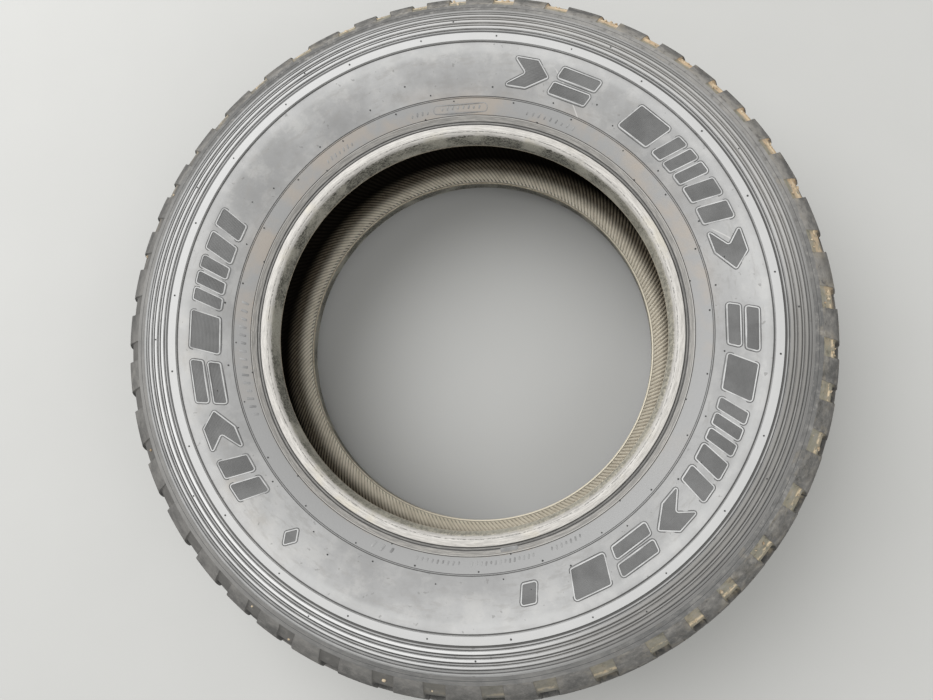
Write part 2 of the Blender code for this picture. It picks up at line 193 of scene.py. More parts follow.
class Graph:
    """A material in the making: short names for its nodes, and its colour so far."""

    def __init__(self, name):
        self.material = bpy.data.materials.new(name)
        self.material.use_nodes = True
        self.tree = self.material.node_tree
        self.shader = self.tree.nodes["Principled BSDF"]
        self.colour = None
        self.shine(0.36)

    def shine(self, level):
        self.shader.inputs["Specular IOR Level"].default_value = level

    def node(self, kind, **settings):
        made = self.tree.nodes.new(kind)
        for key, value in settings.items():
            setattr(made, key, value)
        return made

    def link(self, source, target):
        if isinstance(source, (int, float)):
            target.default_value = source
        elif isinstance(source, tuple):
            target.default_value = (*source, 1.0)
        else:
            self.tree.links.new(source, target)

    def math(self, operation, *values, clamp=False):
        made = self.node("ShaderNodeMath", operation=operation, use_clamp=clamp)
        for value, socket in zip(values, made.inputs):
            self.link(value, socket)
        return made.outputs[0]

    def add(self, a, b, clamp=False):
        return self.math("ADD", a, b, clamp=clamp)

    def times(self, first, *others):
        """The product of several masks."""
        for other in others:
            first = self.math("MULTIPLY", first, other)
        return first

    def mix(self, factor, a, b):
        made = self.node("ShaderNodeMix", data_type="RGBA")
        self.link(factor, made.inputs["Factor"])
        self.link(a, made.inputs[6])
        self.link(b, made.inputs[7])
        return made.outputs[2]

    def over(self, base, *layers):
        """A base colour under some layers: each is a tint, an amount and any masks."""
        for tint, amount, *masks in layers:
            base = self.mix(self.times(amount, *masks), base, tint)
        return base

    def paint(self, *layer):
        """Lays a tint over the colour so far, by an amount and any masks."""
        self.colour = self.over(self.colour, layer)

    def noise(self, scale, detail=4, rough=0.6, stretch=None):
        """Cloudy noise. A stretch makes it run along the circle, across it and up."""
        made = self.node("ShaderNodeTexNoise")
        for socket, value in (("Scale", scale), ("Detail", detail), ("Roughness", rough)):
            made.inputs[socket].default_value = value
        self.link(self.unrolled(*stretch) if stretch else self.place(), made.inputs["Vector"])
        return made.outputs["Fac"]

    def range(self, value, low, high, to_low=0.0, to_high=1.0):
        """A smooth step from to_low at low to to_high at high."""
        made = self.node("ShaderNodeMapRange", interpolation_type="SMOOTHSTEP")
        for number, socket in zip((value, low, high, to_low, to_high), made.inputs):
            self.link(number, socket)
        return made.outputs[0]

    def place(self):
        return self.node("ShaderNodeTexCoord").outputs["Object"]

    def polar(self):
        """Radius in metres, angle in radians and height in metres of the shaded point."""
        split = self.node("ShaderNodeSeparateXYZ")
        self.link(self.place(), split.inputs[0])
        x, y, z = split.outputs
        square = self.add(self.times(x, x), self.times(y, y))
        return self.math("SQRT", square), self.math("ARCTAN2", y, x), z

    def unrolled(self, along, across, up):
        """Coordinates along the circle, across it and up, each with its own stretch."""
        radius, angle, height = self.polar()
        join = self.node("ShaderNodeCombineXYZ")
        for value, stretch, socket in zip((angle, radius, height), (along, across, up), join.inputs):
            self.link(self.times(value, stretch), socket)
        return join.outputs[0]

    def facing(self, degrees, half_width, soft=12):
        """1 within half_width degrees of an angle around the tyre, falling to 0 past its edge."""
        turned = self.math("SUBTRACT", self.polar()[1], radians(degrees))
        low = cos(radians(half_width + soft))
        high = cos(radians(half_width - soft))
        return self.range(self.math("COSINE", turned), low, high)

    def band(self, value, start, end, soft):
        """1 between start and end, falling to 0 over a soft edge."""
        rise = self.range(value, start - soft, start + soft)
        return self.times(rise, self.range(value, end + soft, end - soft))

    def wear_and_shade(self, low, high):
        """A smooth step over the mesh's wear_and_shade values: low in recesses, where shade is painted,
        high where the surface stands proud.
        """
        return self.range(self.node("ShaderNodeAttribute", attribute_name="wear_and_shade").outputs["Fac"], low, high)

    def finish(self, roughness, bump=None, strength=0.0, distance=0.0, metallic=0.0, tone=TONE):
        """Joins the graph to the shader. tone darkens the colours towards real rubber's."""
        toned = self.mix(tone, (0.0, 0.0, 0.0), self.colour)
        for source, socket in ((toned, "Base Color"), (roughness, "Roughness"), (metallic, "Metallic")):
            self.link(source, self.shader.inputs[socket])
        if bump is not None:
            made = self.node("ShaderNodeBump")
            for source, socket in ((bump, "Height"), (strength, "Strength"), (distance, "Distance")):
                self.link(source, made.inputs[socket])
            self.link(made.outputs[0], self.shader.inputs["Normal"])
        return self.material


def grey(value, warm=0.0):
    """A linear grey, a little towards brown when warm is above zero."""
    return (value * (1 + 0.10 * warm), value, value * (1 - 0.14 * warm))


# ---- materials; the radii in them are in metres
def sidewall_rubber():
    """Dusty grey rubber: pale where it stands proud, with painted highlight and shade on the ribs, painted
    shade in the grooves, brown near the bead.
    """
    g = Graph("sidewall_rubber")
    radius, angle = g.polar()[:2]
    cloud = g.noise(8, 5)
    smear = g.noise(3, 5, 0.65, (5, 60, 30))
    fine = g.noise(900, 3)
    mottle = g.noise(42, 5, 0.68)
    g.colour = g.mix(g.range(cloud, 0.35, 0.68), grey(0.28), grey(0.43))
    g.paint(grey(0.55, 0.2), 0.30, g.range(mottle, 0.46, 0.66))
    g.paint(grey(0.22, 0.2), 0.30, g.range(mottle, 0.46, 0.30))
    g.paint(grey(0.27, 0.3), 0.45, g.range(smear, 0.5, 0.68))
    g.paint(grey(0.18), 0.30, g.range(radius, 0.298, 0.262))
    # brown stains low on the sidewall and in a few places higher up
    patch = g.range(g.noise(14, 5, 0.7), 0.40, 0.70)
    g.paint((0.37, 0.315, 0.265), 0.6, g.range(radius, 0.275, 0.240), patch, g.facing(85, 80, 30))
    g.paint((0.45, 0.40, 0.33), 0.35, g.band(radius, 0.284, 0.306, 0.008), patch, g.facing(195, 30, 15))
    g.paint(grey(0.52), 0.35, g.band(radius, 0.297, 0.306, 0.003))
    # specks of dirt and two long scuffs
    g.paint(grey(0.12, 0.3), 0.45, g.range(g.noise(160, 2, 0.5), 0.69, 0.74))
    for degrees, lean, start, end in ((58.2, 12.0, 0.240, 0.290), (20.5, -14.0, 0.272, 0.292)):
        slope = radians(lean) / 0.05
        middle = g.math("MULTIPLY_ADD", radius, slope, radians(degrees) - slope * start)
        away = g.math("ABSOLUTE", g.math("SUBTRACT", angle, middle))
        g.paint(grey(0.62, 0.2), 0.5, g.range(away, 0.0042, 0.0018), g.band(radius, start, end, 0.003))
    # ribs rubbed pale where they stand proud, with a painted highlight on the side towards 236° and painted
    # shade towards 330°; painted shade in the grooves
    outside_band = g.range(radius, 0.317, 0.322)
    # painted highlight on the ribs on the side towards 236°
    painted_highlight = g.times(g.facing(236, 42, 25), outside_band, g.range(radius, 0.352, 0.326))
    rubbed_with_painted_light = g.mix(painted_highlight, grey(0.52), grey(0.76))
    # painted shade on the ribs on the side towards 330°
    rubbed_with_painted_light = g.over(rubbed_with_painted_light, (grey(0.25, 0.3), outside_band, g.facing(330, 30, 18)))
    g.paint(rubbed_with_painted_light, 0.85, g.wear_and_shade(0.5, 1.0))
    # painted shade: the grooves darkened almost to black
    g.paint(grey(0.04, 0.3), 0.92, g.wear_and_shade(0.5, 0.0))
    g.paint(grey(0.32, 0.5), 0.35, g.range(radius, 0.319, 0.330), g.facing(50, 45, 20))
    # painted shade, brownish, on the ribs just outside the band on the side towards 325°
    g.paint(grey(0.15, 0.6), 0.45, g.range(radius, 0.319, 0.328), g.facing(325, 40, 20))
    g.paint(grey(0.15), 0.32, g.range(radius, 0.3380, 0.3415))
    # painted shade in the groove outside the raised band, on the side towards 135°
    g.paint(grey(0.05), 0.75, g.band(radius, 0.3168, 0.3200, 0.0002), g.facing(135, 60, 25))
    g.paint(grey(0.22), 0.15, fine)
    bump = g.add(g.times(fine, 0.6), g.times(smear, 0.4))
    return g.finish(g.range(cloud, 0.3, 0.7, 0.44, 0.6), bump, 0.3, 0.0003)


def cushion_rubber():
    """The bead's hard rubber: rubbed almost white by the rim, with dark streaks, grimy at the toe."""
    g = Graph("rim_cushion_rubber")
    radius, _, height = g.polar()
    long_streak = g.noise(4, 5, 0.65, (4, 300, 140))
    short_streak = g.noise(3, 4, 0.7, (26, 500, 220))
    scrape = g.noise(3, 3, 0.6, (9, 900, 400))
    blotch = g.noise(26)
    patch = g.range(g.noise(12, 4, 0.65), 0.42, 0.62)
    polished = g.mix(g.range(long_streak, 0.34, 0.62), grey(0.37, 0.4), grey(0.56, 0.4))
    polished = g.over(
        polished,
        (grey(0.17, 0.4), 0.6, g.range(short_streak, 0.56, 0.74)),
        ((0.55, 0.50, 0.38), 0.35, g.range(blotch, 0.54, 0.7)),
        (grey(0.24, 0.4), 0.45, g.range(scrape, 0.54, 0.66)),
    )
    crease = g.times(g.band(radius, 0.2200, 0.2208, 0.0003), g.range(short_streak, 0.42, 0.56))
    polished = g.over(polished, (grey(0.05, 0.3), 0.8, crease))
    # grime inside the polished heel, with pale and dark flecks, and dust on the toe itself
    grime = g.mix(g.range(short_streak, 0.42, 0.58), (0.035, 0.034, 0.026), (0.36, 0.35, 0.30))
    grime = g.over(grime, ((0.52, 0.50, 0.43), 0.75, g.range(blotch, 0.46, 0.62)))
    mottle = g.range(g.noise(70, 4, 0.65, (1, 1, 1)), 0.40, 0.60)
    grime = g.over(grime, ((0.68, 0.64, 0.53), g.facing(310, 75, 40), g.range(mottle, 0, 1, 0.35, 0.95)))
    fleck = g.noise(260, 3, 0.6, (1, 1, 1))
    grime = g.over(
        grime,
        ((0.68, 0.65, 0.56), 0.75, g.range(fleck, 0.60, 0.68)),
        ((0.03, 0.028, 0.022), 0.75, g.range(fleck, 0.40, 0.32)),
    )
    dusty_toe = g.mix(g.range(short_streak, 0.4, 0.6), (0.26, 0.225, 0.165), (0.58, 0.52, 0.41))
    dusty_toe = g.over(dusty_toe, ((0.92, 0.84, 0.67), 0.8, g.facing(320, 75, 35)))
    grime = g.mix(g.range(g.math("ABSOLUTE", height), 0.0650, 0.0632), grime, dusty_toe)
    edge = g.add(radius, g.times(g.math("SUBTRACT", short_streak, 0.5), 0.004))
    g.colour = g.mix(g.range(edge, 0.2164, 0.2176), grime, polished)
    # outwards: the dark flange line, the slope beside it and the brown lower sidewall
    streaked = g.range(long_streak, 0.4, 0.65)
    g.paint(g.mix(streaked, grey(0.12, 0.3), grey(0.21, 0.4)), g.range(radius, 0.2276, 0.2284))
    g.paint(g.mix(streaked, grey(0.24, 0.3), grey(0.38, 0.4)), g.range(radius, 0.2318, 0.2326))
    brown = g.over(grey(0.28), ((0.36, 0.305, 0.25), 0.6, patch, g.facing(85, 100, 40)))
    g.paint(brown, g.range(radius, 0.2362, 0.2385))
    rust = g.times(g.band(radius, 0.2352, 0.2385, 0.001), g.range(short_streak, 0.5, 0.7))
    g.paint((0.45, 0.30, 0.17), 0.5, patch, rust)
    # pale on the proud rings; painted shade, almost black, in the recessed rings
    g.paint(grey(0.45, 0.3), 0.8, g.wear_and_shade(0.5, 1.0))
    g.paint(grey(0.03, 0.4), 0.9, g.wear_and_shade(0.5, 0.0))
    bump = g.add(g.times(short_streak, 0.7), g.times(g.noise(700, 3), 0.3))
    return g.finish(0.42, bump, 0.4, 0.0005)


def liner_rubber():
    """Brown-grey butyl with pale dust on the ridges and dirt between them, painted almost black deeper in
    the cavity as painted shade.
    """
    g = Graph("inner_liner_rubber")
    radius = g.polar()[0]
    cloud = g.range(g.noise(14), 0.35, 0.65)
    streak = g.noise(3, 4, 0.6, (30, 20, 20))
    fine = g.noise(500, 3)
    high = g.mix(cloud, (0.36, 0.30, 0.215), (0.52, 0.45, 0.34))
    low = g.mix(cloud, (0.035, 0.027, 0.018), (0.07, 0.056, 0.04))
    g.colour = g.mix(g.wear_and_shade(0.1, 0.9), low, high)
    g.paint((0.09, 0.075, 0.055), 0.5, g.range(streak, 0.48, 0.66))
    g.paint((0.15, 0.125, 0.10), 0.25, fine)
    # pale dust near the beads, thickest to the lower right; farther out the liner is painted almost black,
    # as painted shade deep in the cavity
    ridge = g.wear_and_shade(0.0, 0.7)
    pale = g.mix(ridge, (0.58, 0.51, 0.40), (1.0, 0.93, 0.79))
    thick = g.mix(ridge, (0.56, 0.49, 0.38), (0.82, 0.75, 0.61))
    pale = g.mix(g.facing(310, 80, 45), pale, thick)
    pale = g.over(pale, ((0.55, 0.48, 0.37), 0.3, g.range(g.noise(90), 0.42, 0.66)))
    g.paint(pale, 0.97, g.range(radius, 0.244, 0.224))
    # painted shade: almost black farther into the cavity
    g.paint((0.003, 0.002, 0.001), 0.97, g.range(radius, 0.243, 0.264))
    # dark ticks along both toes, where the ridges run out: painted shade in the valleys, strongest on the
    # side towards 125°
    strength = g.add(0.3, g.times(g.facing(125, 50, 40), 0.5))
    g.paint((0.03, 0.025, 0.02), strength, g.band(radius, 0.2176, 0.2208, 0.0005), g.wear_and_shade(0.55, 0.25))
    g.shine(0.12)
    return g.finish(0.65, fine, 0.3, 0.0004, tone=1.0)


def wing_rubber():
    """The smooth grey ring between the ribs and the lugs."""
    g = Graph("tread_wing_rubber")
    cloud = g.noise(22, 5)
    streak = g.noise(3, 4, 0.6, (8, 300, 100))
    g.colour = g.mix(g.range(cloud, 0.3, 0.7), grey(0.11), grey(0.18, 0.2))
    g.paint(grey(0.24, 0.3), 0.35, g.range(streak, 0.45, 0.65))
    dust = g.add(g.facing(60, 35, 25), g.times(g.facing(190, 40, 25), 0.5), clamp=True)
    g.paint(grey(0.30, 0.3), 0.7, dust)
    # painted shade on the side towards 116°
    g.paint(grey(0.075), 0.65, g.facing(116, 32, 20))
    g.paint((0.40, 0.34, 0.25), 0.3, g.range(g.noise(40), 0.55, 0.72), g.facing(25, 80, 30))
    mottle = g.noise(110, 5, 0.7)
    blotch = g.add(0.12, g.times(g.facing(45, 100, 30), 0.35))
    g.paint(grey(0.34, 0.4), blotch, g.range(mottle, 0.50, 0.66))
    g.paint(grey(0.07, 0.3), blotch, g.range(mottle, 0.48, 0.34))
    # painted shade, almost black, in the recessed ring
    g.paint(grey(0.05), 0.85, g.wear_and_shade(0.5, 0.0))
    return g.finish(0.55, g.noise(800, 3), 0.3, 0.0004)


def tread_rubber():
    """Worn dark tread, with tan clay dried in the notches on the side that ran through mud."""
    g = Graph("tread_rubber")
    radius, _, height = g.polar()
    cloud = g.noise(30, 5)
    scuff = g.noise(3, 4, 0.65, (60, 60, 400))
    clump = g.noise(55, 5, 0.7)
    top = g.mix(g.range(cloud, 0.3, 0.7), grey(0.10, 0.2), grey(0.18, 0.3))
    top = g.over(top, (grey(0.24, 0.3), 0.5, g.range(scuff, 0.5, 0.7)))
    # the lug faces are dusty near their foot; painted shade darkens the crown's edge on the side towards
    # 125°
    foot = g.range(radius, 0.374, 0.362)
    top = g.over(
        top,
        (grey(0.34, 0.5), 0.7, foot, g.facing(45, 35, 25)),
        (grey(0.26, 0.3), 0.25, foot),
        (grey(0.06), 0.35, g.range(radius, 0.360, 0.374), g.facing(125, 50, 30)),
    )
    # notch floors dusty towards 20°; painted shade darkens the deep grooves of the crown
    floor = g.mix(g.facing(20, 95, 40), grey(0.13, 0.3), (0.29, 0.275, 0.22))
    recess = g.mix(g.range(radius, 0.383, 0.374), grey(0.06), floor)
    g.colour = g.mix(g.wear_and_shade(0.2, 0.8), recess, top)
    # clay deep in the notches, brightest to the upper right, and on the lip of their floor pale clay
    # painted brighter as a highlight
    muddy = g.facing(35, 105, 40)
    deep = g.times(muddy, g.wear_and_shade(0.75, 0.35))
    clay = g.mix(g.noise(140), (0.26, 0.215, 0.15), (0.50, 0.44, 0.33))
    g.paint(clay, 0.8, g.range(clump, 0.44, 0.60), deep)
    packed = g.times(g.facing(45, 32, 20), g.wear_and_shade(0.75, 0.35), g.range(radius, 0.364, 0.368))
    g.paint((0.72, 0.53, 0.34), 0.85, g.range(clump, 0.34, 0.50), packed)
    level = g.math("ABSOLUTE", height)
    # painted highlight: pale clay along the lip of the notch floor
    lip_highlight = g.times(g.band(radius, 0.3685, 0.3735, 0.0012), g.band(level, 0.087, 0.094, 0.0015))
    g.paint((0.86, 0.70, 0.48), lip_highlight, deep, g.range(g.noise(90, 4, 0.65), 0.44, 0.56))
    g.paint((0.45, 0.39, 0.29), 0.3, g.wear_and_shade(0.85, 1.0), muddy, g.range(clump, 0.48, 0.6))
    g.paint(grey(0.22, 0.4), 0.35, g.range(g.noise(60), 0.5, 0.75))
    mottle = g.noise(120, 5, 0.7)
    blotch = g.add(0.12, g.times(muddy, g.add(0.15, g.times(foot, 0.3))))
    g.paint(grey(0.36, 0.5), blotch, g.range(mottle, 0.50, 0.66))
    g.paint(grey(0.05, 0.3), blotch, g.range(mottle, 0.48, 0.34))
    g.shine(0.18)
    return g.finish(g.range(cloud, 0.3, 0.7, 0.65, 0.85), g.noise(600, 4, 0.65), 0.5, 0.0006)


def two_tone(name, clouds, low, high, roughness, grain, strength, distance):
    """A cloudy two-tone surface. clouds is their scale and the noise values they fade between."""
    g = Graph(name)
    scale, start, end = clouds
    g.colour = g.mix(g.range(g.noise(scale), start, end), low, high)
    return g.finish(roughness, g.noise(*grain), strength, distance)


def mark_rubbers():
    """Looks of the sidewall marks: rubbed outline, hatched field, painted shade around it, low detail."""
    g = Graph("mark_fill_rubber")
    fine = g.noise(1200, 3)
    g.colour = g.mix(g.range(g.noise(25), 0.3, 0.7), grey(0.085), grey(0.15))
    g.paint(grey(0.22), 0.4, fine)
    return [
        two_tone("mark_outline_rubber", (60, 0.3, 0.6), grey(0.34), grey(0.50), 0.5, (60,), 0.2, 0.0002),
        g.finish(0.7, fine, 0.4, 0.0003),
        two_tone("mark_edge_shade", (40, 0.3, 0.7), grey(0.07), grey(0.16), 0.7, (40,), 0.2, 0.0002),
        two_tone("small_mark_rubber", (50, 0.3, 0.65), grey(0.17), grey(0.31), 0.5, (900, 3), 0.25, 0.0002),
    ]


def nib_rubber():
    """Cut-off vent nibs."""
    g = Graph("vent_nib_rubber")
    fine = g.noise(900, 2, 0.5)
    g.colour = g.mix(fine, grey(0.02), grey(0.06))
    return g.finish(0.7, fine, 0.3, 0.0002)


def stone_material():
    """Small road stones and dried clay crumbs."""
    clay, sand = (0.38, 0.28, 0.18), (0.62, 0.52, 0.38)
    return two_tone("stone_and_clay", (90, 0.35, 0.65), clay, sand, 0.9, (900, 4, 0.7), 0.6, 0.0005)


def cord_material(name, low, high, lines, rise, metallic, roughness):
    """Rubber-coated cords. lines is the number around the tyre, rise their turn with height."""
    g = Graph(name)
    _, angle, height = g.polar()
    lean = g.add(g.times(angle, lines), g.times(height, rise))
    cord = g.range(g.math("SINE", lean), -0.8, 0.9)
    g.colour = g.mix(cord, low, high)
    g.paint(grey(0.05), 0.4, g.noise(40))
    return g.finish(roughness, cord, 0.6, 0.0006, metallic)


def plain_rubber(name, low, high):
    """Hidden rubber with a milled, slightly blotchy surface."""
    g = Graph(name)
    cloud = g.noise(50, 5)
    g.colour = g.mix(g.range(cloud, 0.3, 0.7), grey(low), grey(high))
    return g.finish(g.range(cloud, 0.3, 0.7, 0.55, 0.75), g.noise(800, 3), 0.4, 0.0004)


def floor_material():
    """Plain pale floor, which throws back only as much light as tarmac would."""
    g = Graph("pale_floor")
    cloud = g.noise(3)
    pale = g.mix(cloud, (0.50, 0.50, 0.49), (0.55, 0.55, 0.54))
    seen = g.node("ShaderNodeLightPath").outputs["Is Camera Ray"]
    g.colour = g.mix(seen, (0.22, 0.22, 0.215), pale)
    return g.finish(0.85)


# ---- sidewall profile
SHELF_HEIGHT = HALF_SECTION - 2.4 * MM

BASE_CURVE = catmull([
    (229.5 * MM, BEAD_FACE - 0.5 * MM),
    (232.5 * MM, BEAD_FACE + 0.3 * MM),
    (237.0 * MM, BEAD_FACE + 4.9 * MM),
    (CUSHION_EDGE, CUSHION_TOP),
    (280.0 * MM, CUSHION_TOP + 11.0 * MM),
    (296.0 * MM, CUSHION_TOP + 16.6 * MM),
    (307.5 * MM, SHELF_HEIGHT - 0.2 * MM),
    (318.5 * MM, SHELF_HEIGHT),
    (330.0 * MM, SHELF_HEIGHT - 2.2 * MM),
    (340.5 * MM, SHELF_HEIGHT - 4.6 * MM),
    (344.5 * MM, SHELF_HEIGHT - 6.7 * MM),
    (WING_START, WING_TOP + 0.4 * MM),
    (LUG_FOOT[0] + 0.3 * MM, LUG_FOOT[1]),
], 1.0 * MM)
BASE_RADII = [point[0] for point in BASE_CURVE]
BASE_HEIGHTS = [point[1] for point in BASE_CURVE]

# Rings that stand proud of the sidewall or are cut into it: from radius, to radius, rise (mm). The
# third is the raised band.
SIDEWALL_RINGS = [(254.5, 255.1, -0.45), (306.5, 307.8, -0.7), (308.3, 316.7, 1.8), (316.85, 319.5, -0.1)]
# Ribs outside the band: middle radius, half width, rise (mm).
RIBS = [(324.0, 1.45, 1.0), (331.9, 1.35, 1.0), (339.1, 1.1, 0.9), (346.7, 0.7, 0.45)]
# Grooves inside every rib and outside all but the last: their distances from the rib, rise (mm).
INNER_GROOVE = (0.6, 1.6, -0.7)
OUTER_GROOVE = (0.6, 1.8, -0.9)
for middle, half, rise in RIBS:
    low, high = middle - half, middle + half
    near, far, sink = INNER_GROOVE
    SIDEWALL_RINGS += [(low, high, rise), (low - far, low - near, sink)]
    if middle < RIBS[-1][0]:
        near, far, sink = OUTER_GROOVE
        SIDEWALL_RINGS.append((high + near, high + far, sink))
CUSHION_RINGS = [(228.0, 229.1, -0.7), (230.8, 231.8, -0.6), (235.8, 236.6, 0.55), (236.8, 237.4, -0.35),
                 (253.0, 253.5, -0.4)]
# Half the width of a ring's steep flank, and the rise from which a ring is rubbed pale.
RING_FLANK = 0.14 * MM
PROUD = 0.4 * MM


def base_height(radius):
    """Height of the sidewall surface without its rings."""
    return np.interp(radius, BASE_RADII, BASE_HEIGHTS)


def relief(radius, rings):
    """How far the rings lift or sink the surface at a radius."""
    return sum(rise * MM for low, high, rise in rings if low * MM < radius < high * MM)


def relief_profile(start, end, rings, spacing):
    """(radius, height, wear_and_shade) along the surface, with steep flanks at every ring's edges."""
    margin = 0.4 * MM
    radii = [r for r in np.arange(start, end, spacing)
             if not any(low * MM - margin < r < high * MM + margin for low, high, rise in rings)]
    radii.append(end)
    for low, high, rise in rings:
        for edge in (low * MM, high * MM):
            radii += [edge - RING_FLANK, edge + RING_FLANK]
        radii.append((low + high) / 2 * MM)
    profile = []
    for radius in sorted(r for r in radii if start <= r <= end):
        rise = relief(radius, rings)
        wear_and_shade = 0.5 if rise == 0 else (1.0 if rise > PROUD else 0.0)
        profile.append((radius, float(base_height(radius)) + rise, wear_and_shade))
    return profile


def uneven(turn, radius, height):
    """Slow waves left by the mould and by years on a stack: a few tenths of a millimetre.

    They fade out towards the rim line and towards the raised band."""
    wave = 0.22 * np.sin(3 * turn + 0.7) + 0.16 * np.sin(7 * turn + 2.1) + 0.07 * np.sin(23 * turn)
    share = np.clip((radius - 0.236) / 0.03, 0, 1) * np.clip((0.306 - radius) / 0.02, 0, 1)
    return radius, height - np.sign(height) * np.abs(wave + 0.2) * share * MM


def add_ring(name, profile, underside, material, side):
    """A closed ring in place of one side's CAD ring: a surface profile and a plain underside."""
    section = [(r, z * side) for r, z, wear_and_shade in profile] + [(r, z * side) for r, z in underside]
    wear_and_shade = [w for r, z, w in profile] + [0.5] * len(underside)
    verts, faces = revolve(section, RING_STEPS, uneven)
    mesh_piece(name + "_skin_" + SIDES[side], verts, faces, [material], 32,
               replaces=name + "_" + SIDES[side], wear_and_shade=np.tile(wear_and_shade, RING_STEPS))


def add_sidewall(side, material):
    profile = relief_profile(CUSHION_EDGE + 0.2 * MM, WING_START - 0.15 * MM, SIDEWALL_RINGS, 3 * MM)
    underside = in_mm((347.5, 104.5), (320, 119.0), (276, 108.3), (262, 104.0), (252, 97.4))
    add_ring("sidewall", profile, underside, material, side)


def add_wing(side, material):
    profile = relief_profile(WING_START, LUG_FOOT[0] + 0.2 * MM, [(353.4, 353.9, -0.3)], 1.5 * MM)
    underside = in_mm((357.6, 97.5), (350.5, 103.0))
    add_ring("tread_wing", profile, underside, material, side)


def add_cushion(side, material):
    """Toe, tapered seat, heel, flange face and the lower sidewall up to the joint line."""
    heel_start = BEAD_FACE - HEEL_RADIUS
    seat_radius = TOE_RADIUS + (heel_start - TOE_HEIGHT) * tan(SEAT_TAPER)
    toe_round = 1.6 * MM
    toe_top = TOE_HEIGHT + toe_round
    toe = arc_points((TOE_RADIUS + toe_round, toe_top), toe_round, 270, 180, 5)
    seat = [(TOE_RADIUS + (seat_radius - TOE_RADIUS) * t, toe_top + (heel_start - toe_top) * t)
            for t in (0.25, 0.5, 0.75)]
    heel = arc_points((seat_radius + HEEL_RADIUS, heel_start), HEEL_RADIUS, 180, 90, 12)
    crease = 5  # the heel's point that holds dirt
    profile = [(220.5 * MM, 64.8 * MM, 0.4), (217.2 * MM, 62.0 * MM, 0.4)]
    profile += [(r, z, 0.5) for r, z in toe]
    profile += [(r, z, 0.4) for r, z in seat]
    profile += [(r, z, 0.4 if i == crease else 0.5) for i, (r, z) in enumerate(heel)]
    profile += [(226.0 * MM, BEAD_FACE, 0.5), (227.6 * MM, BEAD_FACE - 0.1 * MM, 0.5)]
    profile += relief_profile(FACE_END - 0.35 * MM, CUSHION_EDGE + 0.1 * MM, CUSHION_RINGS, 1.5 * MM)
    underside = in_mm((250, 95.8), (231, 85.3), (222.7, 85.3), (219.3, 83.5), (219.3, 66.2))
    add_ring("rim_cushion", profile, underside, material, side)


# ---- inner liner
LINER_RIDGES = 277
RIDGE_SHAPE = (0.0, 0.6, 1.0, 0.6)
RIDGE_HEIGHT = 0.7 * MM
# Half the ridges' turn between the beads: an even part, and a part that grows towards the beads.
RIDGE_TURN = (radians(12), radians(11))
LINER_THICKNESS = 1.5 * MM
LINER_MIDDLE = (CAVITY_RADIUS - 1.4 * MM, 0.0)
LINER_HALF = in_mm((373.0, 30), (368.6, 58), (358.9, 77.3), (349.2, 96.4), (336, 105.2), (320, 113.9),
                   (296, 106.4), (268, 97.3), (251, 84.2), (234, 71.0), (224, 65.5), (215.8, 61.2))


def add_liner(material):
    """The airtight liner, with the fine slanted ridges that the curing bladder leaves."""
    mirrored = [(r, -z) for r, z in reversed(LINER_HALF)]
    curve = np.array(catmull([*mirrored, LINER_MIDDLE, *LINER_HALF], 4 * MM))
    along = np.gradient(curve, axis=0)
    along /= np.linalg.norm(along, axis=1)[:, None]
    outward = np.stack([along[:, 1], -along[:, 0]], 1)
    share = lengths(curve) / lengths(curve)[-1]
    columns = LINER_RIDGES * len(RIDGE_SHAPE)
    rise = np.tile(RIDGE_SHAPE, LINER_RIDGES)
    fade = np.clip(np.minimum(share, 1 - share) / 0.02, 0, 1)
    angle = np.arange(columns) * tau / columns
    lean = 2 * share - 1
    turn = angle[:, None] + (RIDGE_TURN[0] * lean + RIDGE_TURN[1] * lean ** 3)[None, :]
    height = rise[:, None] * fade[None, :] * RIDGE_HEIGHT
    inner = curve[None, :, :] - outward[None, :, :] * height[:, :, None]
    outer = np.repeat((curve + outward * LINER_THICKNESS)[None, :, :], columns, 0)[:, ::-1, :]
    radius, level = np.moveaxis(np.concatenate([inner, outer], 1), -1, 0)
    turns = np.concatenate([turn, turn[:, ::-1]], 1)
    points = np.stack([radius * np.cos(turns), radius * np.sin(turns), level], -1)
    ridges = np.repeat(rise[:, None], len(share), 1)
    wear_and_shade = np.concatenate([ridges, np.zeros_like(ridges)], 1)
    faces = ring_faces(radius.shape[1], columns)
    mesh_piece("inner_liner_skin", points.reshape(-1, 3), faces, [material], 60,
               replaces="inner_liner", wear_and_shade=wear_and_shade.ravel())


# ---- tread surface
def crown_radius(height):
    """Radius of the crown arc at a height."""
    return OUTER_RADIUS - CROWN_RADIUS + sqrt(CROWN_RADIUS ** 2 - height ** 2)


def tread_curve():
    """The tread surface from its middle to the lug foot: arc, rounded edge, flat lug face."""
    edge = np.array([crown_radius(SHOULDER_EDGE), SHOULDER_EDGE])
    foot = np.array(LUG_FOOT)
    arc = [np.array([crown_radius(z), z]) for z in np.linspace(0, SHOULDER_EDGE - EDGE_ROUNDING, 60)]
    on_face = edge + (foot - edge) / dist(edge, foot) * EDGE_ROUNDING
    rounding = [arc[-1] * (1 - t) ** 2 + 2 * edge * t * (1 - t) + on_face * t ** 2
                for t in np.arange(1, 11) / 10]
    face = [on_face + (foot - on_face) * t for t in np.arange(1, 13) / 12]
    return np.array(arc + rounding + face)


TREAD_CURVE = tread_curve()
TREAD_LENGTHS = lengths(TREAD_CURVE)
TREAD_SLOPES = np.gradient(TREAD_CURVE, TREAD_LENGTHS, axis=0)
HALF_TREAD = float(TREAD_LENGTHS[-1])
EDGE_AT = float(np.interp(SHOULDER_EDGE, TREAD_CURVE[:, 1], TREAD_LENGTHS))

